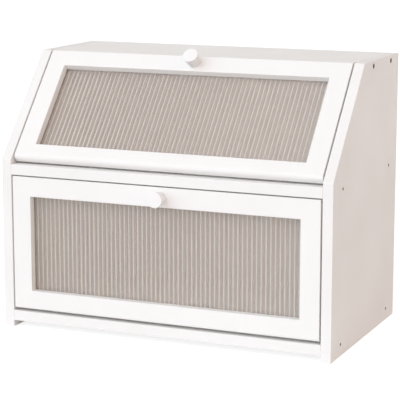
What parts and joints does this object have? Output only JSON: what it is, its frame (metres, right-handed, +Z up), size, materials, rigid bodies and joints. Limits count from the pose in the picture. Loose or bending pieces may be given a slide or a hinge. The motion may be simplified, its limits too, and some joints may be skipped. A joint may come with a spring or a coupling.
{
  "type": "bread box",
  "caption": "Two-tier countertop bread box with a slanted upper front, each compartment closed by a drop-down door with a fluted clear pane and a small knob.",
  "frame": {"origin": "on the ground under the middle of the whole outline, knobs counted in", "axes": "+X to the right as seen from the front, +Y to the back, +Z up"},
  "size_m": [0.4, 0.247, 0.3228],
  "materials": {
    "case_paint": "satin white paint on board",
    "door_paint": "satin white paint on board",
    "back_paint": "white painted thin board",
    "knob_paint": "satin white paint on turned wood",
    "fluted_acrylic": "clear fluted acrylic sheet",
    "black_steel": "black oxide",
    "bright_steel": "zinc plated",
    "magnet_nickel": "nickel plated"
  },
  "bodies": {
    "case": {"side_panel_left": "case_paint", "side_panel_right": "case_paint", "bottom_board": "case_paint", "middle_shelf": "case_paint", "top_board": "case_paint", "back_panel": "back_paint", "lower_stop_block_left": "case_paint", "lower_stop_block_right": "case_paint", "case_screw_left_1": "black_steel", "case_screw_left_2": "black_steel", "case_screw_left_3": "black_steel", "case_screw_left_4": "black_steel", "case_screw_left_5": "black_steel", "case_screw_left_6": "black_steel", "case_screw_right_1": "black_steel", "case_screw_right_2": "black_steel", "case_screw_right_3": "black_steel", "case_screw_right_4": "black_steel", "case_screw_right_5": "black_steel", "case_screw_right_6": "black_steel", "lower_hinge_pin_left": "bright_steel", "lower_hinge_pin_right": "bright_steel", "upper_hinge_pin_left": "bright_steel", "upper_hinge_pin_right": "bright_steel", "lower_case_magnet_left": "magnet_nickel", "lower_case_magnet_right": "magnet_nickel", "upper_case_magnet_left": "magnet_nickel", "upper_case_magnet_right": "magnet_nickel"},
    "lower_door": {"lower_door_frame": "door_paint", "lower_fluted_pane": "fluted_acrylic", "lower_knob": "knob_paint", "lower_knob_screw": "bright_steel", "lower_pane_screw_1": "bright_steel", "lower_pane_screw_2": "bright_steel", "lower_pane_screw_3": "bright_steel", "lower_pane_screw_4": "bright_steel", "lower_door_magnet_left": "magnet_nickel", "lower_door_magnet_right": "magnet_nickel"},
    "upper_door": {"upper_door_frame": "door_paint", "upper_fluted_pane": "fluted_acrylic", "upper_knob": "knob_paint", "upper_knob_screw": "bright_steel", "upper_pane_screw_1": "bright_steel", "upper_pane_screw_2": "bright_steel", "upper_pane_screw_3": "bright_steel", "upper_pane_screw_4": "bright_steel", "upper_door_magnet_left": "magnet_nickel", "upper_door_magnet_right": "magnet_nickel"}
  },
  "joints": [
    {"name": "lower_door_hinge", "type": "hinge", "parent": "case", "child": "lower_door", "pos_m": [0, -0.1005, 0.02876], "axis": [1, 0, 0], "range_deg": [0, 92]},
    {"name": "upper_door_hinge", "type": "hinge", "parent": "case", "child": "upper_door", "pos_m": [0, -0.09491, 0.20056], "axis": [1, 0, 0], "range_deg": [0, 143]}
  ]
}
